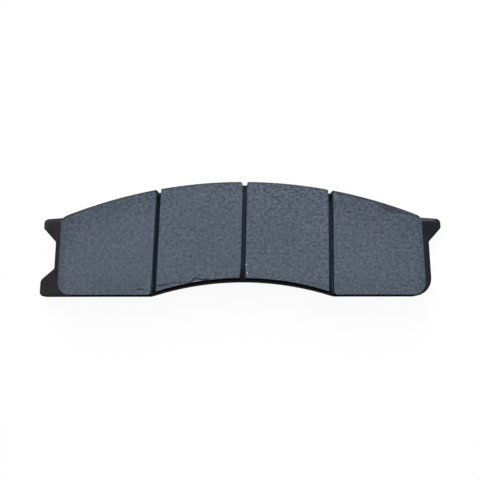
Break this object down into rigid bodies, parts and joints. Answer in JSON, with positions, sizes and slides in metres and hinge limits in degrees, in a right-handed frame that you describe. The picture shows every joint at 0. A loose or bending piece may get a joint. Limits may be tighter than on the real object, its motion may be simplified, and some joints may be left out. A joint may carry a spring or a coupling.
{
  "type": "brake pad",
  "caption": "Long curved disc brake pad: a black steel plate with hooked ears carries slotted grey friction blocks, keyed and bonded to it.",
  "frame": {"origin": "on the plate's back face, on the pad's centre line, at half the plate's height", "axes": "+X along the pad, +Y away from the disc's axis, +Z from the plate towards the disc"},
  "size_m": [0.28, 0.079, 0.018],
  "materials": {
    "backing_plate": "satin",
    "adhesive_film": "satin",
    "underlayer": "matte",
    "friction_block": "matte"
  },
  "bodies": {
    "root": {"backing_plate": "backing_plate", "adhesive_film_1": "adhesive_film", "adhesive_film_2": "adhesive_film", "adhesive_film_3": "adhesive_film", "adhesive_film_4": "adhesive_film", "underlayer_1": "underlayer", "underlayer_2": "underlayer", "underlayer_3": "underlayer", "underlayer_4": "underlayer", "friction_block_1": "friction_block", "friction_block_2": "friction_block", "friction_block_3": "friction_block", "friction_block_4": "friction_block"}
  },
  "joints": []
}
